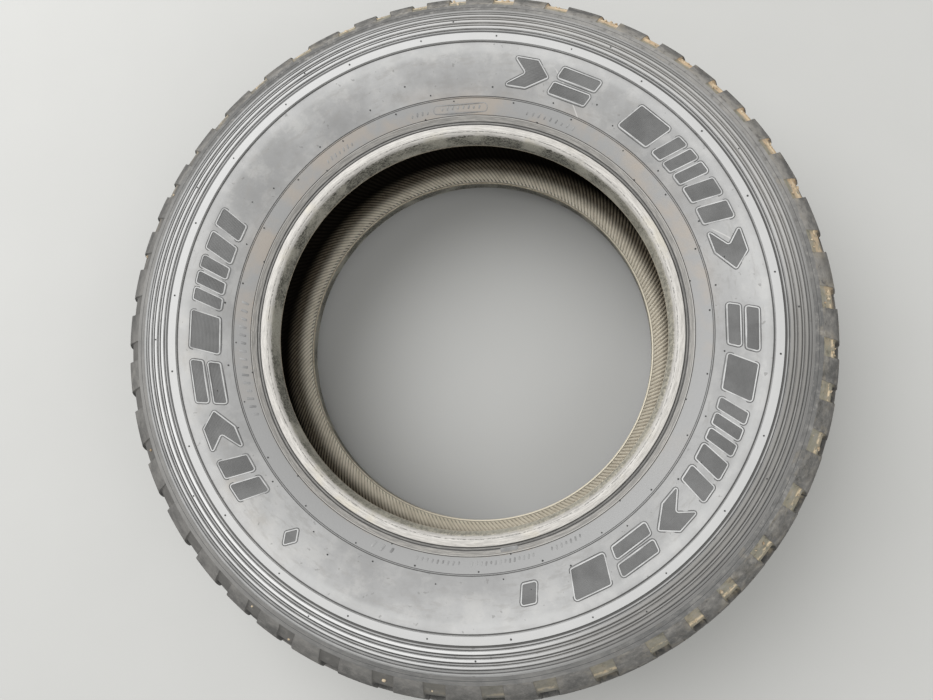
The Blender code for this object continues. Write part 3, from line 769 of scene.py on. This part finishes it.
# Depth of the tread's floor against the distance from its middle (mm): straight groove, slots and
# notches, and the lip where the notch floor turns down the lug face.
FLOOR = ([0, 57, 60, 72, 82, EDGE_AT / MM - 1, EDGE_AT / MM + 6, EDGE_AT / MM + 11, HALF_TREAD / MM],
         [TREAD_DEPTH / MM, TREAD_DEPTH / MM, 7.0, 6.6, 5.2, 3.0, 2.3, 1.8, 0.9])


def tread_point(v, depth):
    """Radius and height at distance v along the surface from the tread's middle, below it by depth."""
    away = min(abs(v), HALF_TREAD)
    r, z, dr, dz = (np.interp(away, TREAD_LENGTHS, column)
                    for column in (*TREAD_CURVE.T, *TREAD_SLOPES.T))
    return r - dz * depth, copysign(z + dr * depth, v)


def groove_depth(v):
    """Depth of the tread's floor at distance v from its middle."""
    return float(np.interp(abs(v) / MM, *FLOOR)) * MM


# Largest distance between the rows of points on a block.
BLOCK_STEP = 5 * MM
# Walls of a tread block from the floor to the top: inset, share of the floor's depth, wear_and_shade.
BLOCK_SHELLS = [(-2.1 * MM, 1.08, 0.0), (-1.2 * MM, 0.95, 0.1), (-0.5 * MM, 0.6, 0.35),
                (-0.1 * MM, 0.08, 0.7), (0.4 * MM, 0.0, 1.0)]


class TreadMesh:
    """Collects tread blocks into one mesh."""

    def __init__(self):
        self.points = []
        self.faces = []
        self.wear_and_shade = []

    def put(self, v, turn, depth, wear_and_shade):
        r, z = tread_point(v, depth)
        self.points.append(swing(r, turn, z))
        self.wear_and_shade.append(wear_and_shade)
        return len(self.points) - 1

    def block(self, v0, v1, left, right, across):
        """A block between two v values. left(v) and right(v) are its side angles.

        Its top follows the tread surface and its walls lean out to the floor, with a round foot."""
        rows = max(2, int(ceil((v1 - v0) / BLOCK_STEP)) + 1)
        middle = tread_point((v0 + v1) / 2, 0)[0]

        def corner(i, k, inset, share, wear_and_shade):
            """The point in row i and column k of the block drawn in by inset."""
            whole = v0 + (v1 - v0) * i / (rows - 1)
            v = v0 + inset + (v1 - v0 - 2 * inset) * i / (rows - 1)
            shift = inset / middle
            turn = left(whole) + shift + (right(whole) - left(whole) - 2 * shift) * k / across
            return self.put(v, turn, groove_depth(whole) * share, wear_and_shade)

        rim = [(i, 0) for i in range(rows)] + [(rows - 1, k) for k in range(1, across)]
        rim += [(i, across) for i in range(rows - 1, -1, -1)] + [(0, k) for k in range(across - 1, 0, -1)]
        loops = [[corner(i, k, *shell) for i, k in rim] for shell in BLOCK_SHELLS]
        for lower, upper in zip(loops, loops[1:]):
            self.faces += loop_quads(upper, lower)
        grid = dict(zip(rim, loops[-1]))
        for i in range(1, rows - 1):
            for k in range(1, across):
                grid[i, k] = corner(i, k, BLOCK_SHELLS[-1][0], 0.0, 0.9)
        for i in range(rows - 1):
            for k in range(across):
                self.faces.append((grid[i, k], grid[i, k + 1], grid[i + 1, k + 1], grid[i + 1, k]))
        self.faces.append(tuple(loops[0]))


def pitches():
    """(start angle, length) of every pitch; a pitch starts in the middle of a shoulder notch."""
    total = sum(PITCH_RATIO[letter] for letter in PITCH_SEQUENCE)
    angle = FIRST_NOTCH
    made = []
    for letter in PITCH_SEQUENCE:
        length = tau * PITCH_RATIO[letter] / total
        made.append((angle, length))
        angle += length
    return made


def line(*knots):
    """A function through (v, share of pitch) knots, with v in millimetres."""
    vs = [k[0] * MM for k in knots]
    shares = [k[1] for k in knots]
    return lambda v: float(np.interp(abs(v), vs, shares))


# Half a sipe's width, as a turn.
SIPE = 0.45 * MM / OUTER_RADIUS


def add_row(tread, side, offset, across, blocks):
    """A row of blocks round the tyre, offset by a share of a pitch.

    A block is (from v, to v, left, right), and its left and right are (share of pitch at v, turn)."""
    for start, length in pitches():

        def at(share, turn):
            return lambda v: start + offset * length + length * share(v) + turn

        for v0, v1, left, right in blocks:
            low, high = (v0, v1) if side > 0 else (-v1, -v0)
            tread.block(low, high, at(*left), at(*right), across)


def add_shoulder_row(tread, side):
    """Shoulder lugs: two blocks split by a sipe on the tread, and one plate down the side."""
    left = line((61, 0.16), (78, 0.18), (92, 0.20), (121, 0.215))
    right = line((61, 0.86), (78, 0.84), (92, 0.80), (121, 0.785))
    sipe = line((61, 0.48), (72, 0.52), (84, 0.50))
    inner, split, outer = 60.6 * MM, EDGE_AT - 7 * MM, HALF_TREAD - 0.2 * MM
    add_row(tread, side, 0 if side > 0 else 0.5, 4, [
        (inner, split - 0.3 * MM, (left, 0), (sipe, -SIPE)),
        (inner, split - 0.3 * MM, (sipe, SIPE), (right, 0)),
        (split, outer, (left, 0), (right, 0)),
    ])


def add_middle_row(tread, side):
    """Slanted blocks between the straight groove and the zigzag centre groove."""

    def edge(base, turn=0):
        """An edge that leans by 0.34 of a pitch over 30 mm, and crosses its base share at 34 mm."""
        return lambda v: base + 0.34 * (abs(v) / MM - 34) / 30 * side, turn

    add_row(tread, side, 0.5 if side > 0 else 0, 3, [
        (22 * MM, 35.2 * MM, edge(0.10), edge(0.47, -SIPE)),
        (20 * MM, 35.2 * MM, edge(0.47, SIPE), edge(0.86)),
        (36.2 * MM, 49.2 * MM, edge(0.10), edge(0.50, -SIPE)),
        (36.2 * MM, 51.0 * MM, edge(0.50, SIPE), edge(0.86)),
    ])


def add_centre_rib(tread):
    """The middle rib: chunky blocks with slanted ends."""

    def edge(base, turn=0):
        return lambda v: base - 0.20 * v / (14 * MM), turn

    add_row(tread, 1, 0, 3, [
        (-13.5 * MM, 13.5 * MM, edge(0.04), edge(0.46, -SIPE)),
        (-15.0 * MM, 15.0 * MM, edge(0.46, SIPE), edge(0.90)),
    ])


def add_tread(material):
    """All blocks, and the ring under them whose outside is the grooves' floor."""
    tread = TreadMesh()
    for side in SIDES:
        add_shoulder_row(tread, side)
        add_middle_row(tread, side)
    add_centre_rib(tread)
    outer = [tread_point(v, groove_depth(v)) for v in np.linspace(HALF_TREAD, -HALF_TREAD, 97)]
    upper = in_mm((389.2, 0), (380.2, 61.2), (370.6, 80.4), (359.6, 93.2))
    inner = [(r, -z) for r, z in reversed(upper[1:])] + upper
    verts, faces = revolve(outer + inner, RING_STEPS)
    shift = len(tread.points)
    points = np.concatenate([np.array(tread.points), verts])
    faces = tread.faces + [tuple(int(i) + shift for i in f) for f in faces]
    wear_and_shade = np.concatenate([tread.wear_and_shade, np.zeros(len(verts))])
    mesh_piece("tread_cap_skin", points, faces, [material], 28,
               replaces="tread_cap", wear_and_shade=wear_and_shade)


# ---- generic sidewall marks
def surface(turn, radius):
    """Height of the outboard sidewall surface, with its unevenness."""
    base = np.asarray(base_height(radius), float)
    return uneven(turn, radius, base)[1]


def outline(corners, radius, inset, fine=4):
    """Points around an anticlockwise shape with rounded corners, moved inwards by inset."""
    corners = [np.array(c, float) for c in corners]
    normals = []
    for start, end in zip(corners, corners[1:] + corners[:1]):
        edge = (end - start) / np.linalg.norm(end - start)
        normals.append(np.array([edge[1], -edge[0]]))
    points = []
    for i, corner in enumerate(corners):
        before, after = normals[i - 1], normals[i]
        bend = atan2(before[0] * after[1] - before[1] * after[0], float(before @ after))
        sign = 1 if bend > 0 else -1
        centre = corner - sign * (before + after) * radius / (1 + before @ after)
        first = atan2(before[1], before[0])
        for k in range(fine):
            a = first + bend * k / (fine - 1)
            points.append(centre + (sign * radius - inset) * np.array([cos(a), sin(a)]))
    return np.array(points)


# Numbers of the marks' looks.
OUTLINE, FILL, EDGE, SMALL = 0, 1, 2, 3
# Bands of an outlined mark, over its edge of painted shade, its rim and back below: inset, lift (mm), look.
BLOCK_BANDS = [(-1.3, -0.1, EDGE), (-1.15, 0.06, EDGE), (-0.3, 0.08, EDGE), (0.0, 0.75, OUTLINE),
               (1.05, 0.75, OUTLINE), (1.35, 0.05, FILL), (1.35, -0.6, FILL), (-1.3, -0.6, EDGE)]
RING_BANDS = [(-0.2, -0.2, SMALL), (0.0, 0.3, SMALL), (0.6, 0.3, SMALL), (0.8, -0.2, SMALL)]
# The hatched field: its inset, the pitch of its ridges, and how far its underside lies below.
FIELD_INSET = 1.25 * MM
RIDGE_PITCH = 1.3 * MM
FIELD_FOOT = -0.6 * MM


class Marks:
    """Raised generic shapes on a sidewall: a pale rim round a dark hatched field."""

    def __init__(self, side):
        self.side = side
        self.points = []
        self.faces = []
        self.looks = []

    def put(self, place, xy, lift):
        """A point of a mark: x runs clockwise and y outwards from the mark's place."""
        angle, radius = place
        x, y = xy
        turn = angle - x / (radius + 0.5 * y)
        r = radius + y
        z = float(surface(turn, r)) + lift
        self.points.append(swing(r, turn, z * self.side))
        return len(self.points) - 1

    def add_face(self, corners, look):
        self.faces.append(tuple(corners) if self.side > 0 else tuple(reversed(corners)))
        self.looks.append(look)

    def shells(self, place, corners, radius, steps, fine=4, closed=False):
        """Bands round a shape, given as (inset, lift, look) steps inwards in mm. Returns the loops.

        A closed set of bands runs on from its last step to its first."""
        loops = [[self.put(place, xy, lift * MM) for xy in outline(corners, radius, inset * MM, fine)]
                 for inset, lift, look in steps]
        pairs = list(zip(loops, loops[1:], steps[1:]))
        if closed:
            pairs.append((loops[-1], loops[0], steps[0]))
        for outer, inner, step in pairs:
            for i in range(len(outer)):
                j = (i + 1) % len(outer)
                self.add_face((outer[j], inner[j], inner[i], outer[i]), step[2])
        return loops

    def field(self, place, edge, pitch):
        """A thin plate inside an edge, with fine ridges along the circle, exact to its corners."""
        low, high = edge[:, 1].min(), edge[:, 1].max()
        rows = sorted(set(np.round(np.arange(low, high, pitch / 2), 5)) | set(np.round(edge[:, 1], 5)))
        closed = np.vstack([edge, edge[:1]])
        columns = max(2, int(np.ptp(edge[:, 0]) / (4 * MM)))
        top, under = [], []
        for y in rows:
            y = min(max(y, low), high)
            hits = [a[0] + (b[0] - a[0]) * (y - a[1]) / (b[1] - a[1])
                    for a, b in zip(closed, closed[1:])
                    if (a[1] - y) * (b[1] - y) <= 0 and abs(a[1] - b[1]) > 1e-9]
            lift = (0.10 + 0.34 * abs(2 * ((y / pitch) % 1) - 1)) * MM
            across = np.linspace(min(hits), max(hits), columns + 1)
            top.append([self.put(place, (x, y), lift) for x in across])
            under.append([self.put(place, (x, y), FIELD_FOOT) for x in across])
        last = len(rows) - 1
        for i in range(last):
            for k in range(columns):
                square = ((i, k), (i, k + 1), (i + 1, k + 1), (i + 1, k))
                self.add_face([top[m][n] for m, n in square], FILL)
                self.add_face([under[m][n] for m, n in (square[0], *square[:0:-1])], FILL)
        rim = [(0, k) for k in range(columns)] + [(i, columns) for i in range(last)]
        rim += [(last, k) for k in range(columns, 0, -1)] + [(i, 0) for i in range(last, 0, -1)]
        for (i, k), (m, n) in zip(rim, rim[1:] + rim[:1]):
            self.add_face((under[i][k], under[m][n], top[m][n], top[i][k]), FILL)

    def block(self, place, corners, radius):
        """An outlined shape with a hatched field and a dark edge of painted shade."""
        self.shells(place, corners, radius, BLOCK_BANDS, closed=True)
        self.field(place, outline(corners, radius, FIELD_INSET), RIDGE_PITCH)

    def dash(self, place, corners, radius, lift):
        """A small plain raised bar. lift is in mm."""
        bands = [(-0.25, -0.25, SMALL), (0.0, lift * 0.6, SMALL), (0.3, lift, SMALL)]
        loops = self.shells(place, corners, radius, bands, 3)
        self.add_face(loops[-1], SMALL)
        self.add_face(loops[0][::-1], SMALL)

    def ring(self, place, half_length, half_height):
        """A thin raised oval."""
        box = slanted(-half_length, half_length, -half_height, half_height, 0.0)
        self.shells(place, box, half_height * 0.95, RING_BANDS, 9, closed=True)


def slanted(x0, x1, y0, y1, slant):
    """Corners of a slanted block, anticlockwise."""
    lean = tan(slant)
    return [(x0 + y0 * lean, y0), (x1 + y0 * lean, y0), (x1 + y1 * lean, y1), (x0 + y1 * lean, y1)]


def chevron(x0, x1, height, slant):
    """A broad bar bent sideways in its middle."""
    reach = (x1 - x0) * 0.42
    lean = tan(slant) * height / 2
    middle = height / 2
    return [(x0 - lean, 0), (x1 - reach - lean, 0), (x1, middle), (x1 - reach + lean, height),
            (x0 + lean, height), (x0 + reach, middle)]


MARK_SLANT = radians(16)
MARK_RADIUS = 266 * MM
MARK_HEIGHT = 29 * MM
MARK_GAP = 3.5 * MM
# Groups of shapes around the sidewall: from angle, to angle (degrees, clockwise), cells.
MARK_GROUPS = [(219.5, 153, 6), (81, 60, 2), (53, 10, 4), (364, 291, 7)]
# Bars in a cell: shares of the cell's width, and of its height. An empty cell holds a chevron.
MARK_CELLS = [
    [(0.03, 0.43, 0.0, 1.0), (0.55, 0.95, 0.0, 1.0)],
    [],
    [(0.05, 0.95, 0.0, 0.44), (0.05, 0.95, 0.56, 1.0)],
    [(0.10, 0.90, 0.0, 1.0)],
    [(0.02, 0.30, 0.0, 1.0), (0.36, 0.64, 0.0, 1.0), (0.70, 0.98, 0.0, 1.0)],
]
# Rows of small bars: from angle, to angle (degrees, clockwise), bars, lower radius, height, width (mm).
DASH_ROWS = [
    (203, 172, 15, 241.5, 6.5, 2.4),
    (130, 121, 7, 242.0, 4.0, 1.4),
    (105, 99.5, 4, 242.0, 4.0, 1.5),
    (97, 86, 8, 243.0, 3.4, 1.5),
    (75, 61, 9, 242.0, 4.0, 1.5),
    (253, 246, 3, 241.0, 6.5, 2.6),
    (269, 257.5, 9, 241.5, 4.0, 1.5),
    (287, 271, 14, 241.5, 4.0, 1.5),
    (299, 290.5, 7, 241.5, 4.0, 1.5),
]


def add_marks(side, materials):
    """Groups of large marks, a plain diamond, rows of small bars, a plaque and an oval."""
    marks = Marks(side)
    lean = MARK_HEIGHT * tan(MARK_SLANT) / 2
    number = 0
    for start, end, cells in MARK_GROUPS:
        cell = radians(start - end) / cells
        width = cell * (MARK_RADIUS + MARK_HEIGHT / 2) - MARK_GAP
        for i in range(cells):
            place = (radians(start) - cell * (i + 0.5), MARK_RADIUS)
            bars = MARK_CELLS[number % len(MARK_CELLS)]
            if not bars:
                marks.block(place, chevron(-0.46 * width, 0.46 * width, MARK_HEIGHT, MARK_SLANT), 1.8 * MM)
            for x0, x1, y0, y1 in bars:
                corners = slanted((x0 - 0.5) * width - lean, (x1 - 0.5) * width - lean,
                                  y0 * MARK_HEIGHT, y1 * MARK_HEIGHT, MARK_SLANT)
                marks.block(place, corners, 2.8 * MM)
            number += 1
    small = slanted(-8 * MM, 8 * MM, 0.0, 20 * MM, MARK_SLANT)
    marks.block((radians(284), MARK_RADIUS), small, 2.8 * MM)
    diamond = [(0.0, -11 * MM), (8 * MM, 0.0), (0.0, 11 * MM), (-8 * MM, 0.0)]
    marks.block((radians(230.5), 281 * MM), diamond, 2.0 * MM)
    for start, end, bars, low, height, width in DASH_ROWS:
        for i in range(bars):
            angle = radians(start + (end - start) * (i + 0.5) / bars)
            w, h = width * MM / 2, height * MM
            corners = slanted(-w, w, 0.0, h if i % 3 else h * 0.75, MARK_SLANT)
            marks.dash((angle, low * MM), corners, 0.6 * MM, 0.4)
    plaque = slanted(-9 * MM, 9 * MM, -1.6 * MM, 1.8 * MM, 0.0)
    marks.dash((radians(280.8), 232.8 * MM), plaque, 0.9 * MM, 0.3)
    marks.ring((radians(91.5), 244.6 * MM), 30 * MM, 4.4 * MM)
    mesh_piece("sidewall_marks_" + SIDES[side], marks.points, marks.faces, materials,
               32, looks=marks.looks)


# ---- vent nibs
# Rings of nibs: radius (mm), first angle and step (degrees). A nib's foot is sunk into the rubber.
NIB_RINGS = [(313.0, 8.5, 15.1), (259.5, 8.5, 30.0), (264.0, 23.5, 30.0), (251.0, 3.0, 15.0),
             (273.5, 14.0, 45.0), (237.8, 11.0, 30.0), (331.9, 2.0, 30.0)]
NIB_SIDES = 10
NIB_FOOT = 0.6 * MM


def add_nibs(side, material):
    """Short rubber nibs where the mould's vents were, cut off near the surface."""
    points, faces = [], []
    for ring_radius, first, step in NIB_RINGS:
        radius = ring_radius * MM
        count = round(360 / step)
        for i in range(count):
            turn = radians(first + 360.0 * i / count)
            base = float(surface(turn, radius)) + relief(radius, SIDEWALL_RINGS)
            half = rng.uniform(0.75, 1.05) * MM
            top = min(base + rng.uniform(0.25, 0.45) * MM, HALF_SECTION - 0.02 * MM)
            x, y, _ = swing(radius, turn, base)
            loops = []
            for share, level in ((1.0, base - NIB_FOOT), (1.0, top - 0.1 * MM), (0.7, top)):
                loops.append(list(range(len(points), len(points) + NIB_SIDES)))
                for k in range(NIB_SIDES):
                    dx, dy, z = swing(half * share, tau * k / NIB_SIDES, level * side)
                    points.append((x + dx, y + dy, z))
            skin = loop_quads(*loops[:2]) + loop_quads(*loops[1:]) + [loops[2], loops[0][::-1]]
            faces += skin if side > 0 else [face[::-1] for face in skin]
    mesh_piece("vent_nibs_" + SIDES[side], points, faces, [material], 32)


# ---- stones and clay in the notches
def icosphere():
    """Corners and faces of a small sphere."""
    made = bmesh.new()
    bmesh.ops.create_icosphere(made, subdivisions=2, radius=1.0)
    corners = np.array([vert.co for vert in made.verts])
    faces = [[vert.index for vert in face.verts] for face in made.faces]
    made.free()
    return corners, faces


def add_stones(material):
    """Small stones and crumbs of clay that stayed in the shoulder notches."""
    corners, triangles = icosphere()
    points, faces = [], []
    for start, length in pitches():
        muddy = cos(start - radians(28))
        count = rng.choice([1, 2, 3, 4]) if muddy > 0.1 else rng.choice([0, 0, 0, 0, 1])
        for _ in range(count):
            v = rng.uniform(EDGE_AT + 1 * MM, HALF_TREAD - 6 * MM)
            angle = start + rng.uniform(-0.13, 0.13) * length
            size = rng.uniform(0.9, 2.2) * MM
            r, z = tread_point(v, groove_depth(v) - size * 0.2)
            bumps = np.array([rng.uniform(0.72, 1.12) for _ in corners])
            stretch = np.array([rng.uniform(0.6, 1.2) for _ in range(3)])
            shape = corners * bumps[:, None] * stretch * size
            shift = len(points)
            points += [tuple(p) for p in shape + np.array(swing(r, angle, z))]
            faces += [tuple(i + shift for i in t) for t in triangles]
    mesh_piece("notch_stones", points, faces, [material], 50)


# ---- hidden casing
def dress_casing():
    """Procedural materials for the CAD rings that stay as they are, inside the rubber."""
    polyester = cord_material("polyester_cord", (0.07, 0.06, 0.05), (0.20, 0.17, 0.13), 1400, 0, 0.0, 0.7)
    nylon = cord_material("nylon_cord", (0.06, 0.055, 0.05), (0.17, 0.15, 0.12), 4, 3100, 0.0, 0.65)
    steel = cord_material("steel_cord", (0.05, 0.045, 0.04), (0.42, 0.37, 0.28), 900, 2600, 0.6, 0.4)
    wire = cord_material("bead_wire", (0.12, 0.09, 0.05), (0.50, 0.39, 0.25), 2, 4200, 0.9, 0.35)
    filler = plain_rubber("bead_filler_rubber", 0.02, 0.045)
    wedge = plain_rubber("belt_wedge_rubber", 0.018, 0.035)
    base = plain_rubber("tread_base_rubber", 0.015, 0.03)
    looks = {"cap_ply": nylon, "tread_base": base}
    for order in ("first", "second"):
        looks["body_ply_" + order] = polyester
        looks["steel_belt_" + order] = steel
    for side in SIDES:
        looks["bead_core_" + SIDES[side]] = wire
        looks["bead_filler_" + SIDES[side]] = filler
        looks["belt_wedge_" + SIDES[side]] = wedge
    for node, look in looks.items():
        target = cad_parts[node]
        if not target.material_slots:
            target.data.materials.append(look)
        for slot in target.material_slots:
            slot.material = look


# ---- stage, light and camera
def add_stage():
    """A plain pale floor that the tyre lies on."""
    bpy.ops.mesh.primitive_plane_add(size=12, location=(0, 0, -HALF_SECTION))
    floor = bpy.context.object
    floor.name = "floor"
    floor.data.materials.append(floor_material())


def add_lights():
    """An overcast sky, a little stronger from the upper left."""
    world = bpy.data.worlds.new("overcast")
    world.use_nodes = True
    sky = world.node_tree.nodes["Background"]
    sky.inputs["Color"].default_value = (0.965, 0.965, 0.935, 1.0)
    sky.inputs["Strength"].default_value = 0.62 / TONE
    bpy.context.scene.world = world
    for name, place, size, power in (("sky_panel", (-1.3, 1.1, 2.4), 2.6, 72),
                                     ("fill_panel", (1.6, -1.4, 2.6), 3.0, 28)):
        data = bpy.data.lights.new(name, "AREA")
        data.shape = "DISK"
        data.size = size
        data.energy = power / TONE
        lamp = bpy.data.objects.new(name, data)
        lamp.location = place
        lamp.rotation_euler = (-lamp.location).to_track_quat("-Z", "Y").to_euler()
        bpy.context.scene.collection.objects.link(lamp)


def add_camera():
    """Almost straight above the tyre, a little to one side."""
    data = bpy.data.cameras.new("camera")
    data.sensor_width = 36.0
    data.lens = 28.94
    data.clip_start = 0.05
    camera = bpy.data.objects.new("camera", data)
    camera.location = (0.0814, -0.1245, 0.8765)
    camera.rotation_euler = (radians(7.29), radians(5.93), 0.0)
    bpy.context.scene.collection.objects.link(camera)
    bpy.context.scene.camera = camera


# ---- the tyre
bpy.context.scene.view_settings.view_transform = "Standard"
cushion_look = cushion_rubber()
side_look = sidewall_rubber()
wing_look = wing_rubber()
mark_looks = mark_rubbers()
nib_look = nib_rubber()
for side in SIDES:
    add_cushion(side, cushion_look)
    add_sidewall(side, side_look)
    add_wing(side, wing_look)
    add_marks(side, mark_looks)
    add_nibs(side, nib_look)
add_liner(liner_rubber())
add_tread(tread_rubber())
add_stones(stone_material())
dress_casing()
add_stage()
add_lights()
add_camera()
